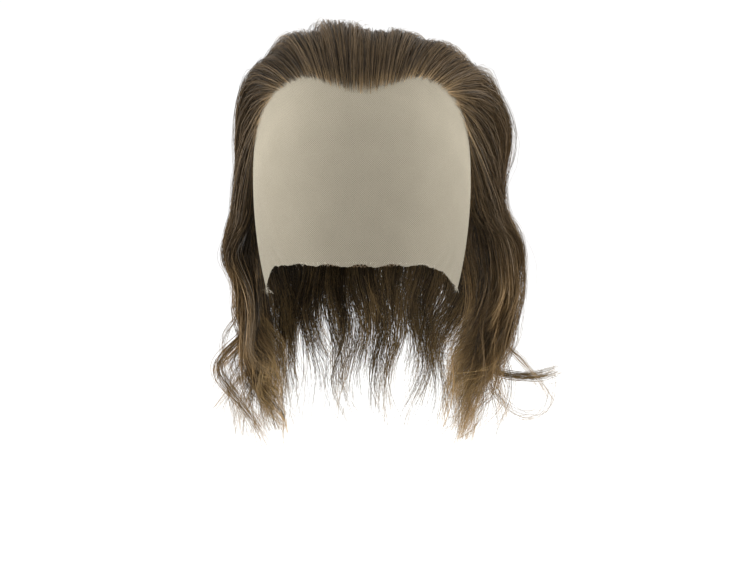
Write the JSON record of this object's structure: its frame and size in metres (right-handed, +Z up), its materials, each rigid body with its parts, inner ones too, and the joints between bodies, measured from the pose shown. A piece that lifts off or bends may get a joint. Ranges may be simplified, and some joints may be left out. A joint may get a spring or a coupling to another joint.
{
  "type": "lace front wig",
  "caption": "Lace front wig: brown wavy hair combed back from a widow's peak over a hollow net cap, with a sheer beige lace panel at the forehead.",
  "frame": {"origin": "the inside of the crown, where the cap sits on the top of a head", "axes": "+Z up, the face looks along -Y, +X is the right side seen from the front"},
  "size_m": [0.2482, 0.2092, 0.2954],
  "materials": {
    "lace": "sheer beige lace net, matt",
    "net": "plain light brown foundation net, matt",
    "hair": "brown hair with a soft sheen, lighter at the tips"
  },
  "bodies": {
    "root": {"lace_front": "lace", "cap": "net", "hair_side_left": "hair", "hair_back_left": "hair", "hair_back_centre": "hair", "hair_back_right": "hair", "hair_side_right": "hair"}
  },
  "joints": []
}
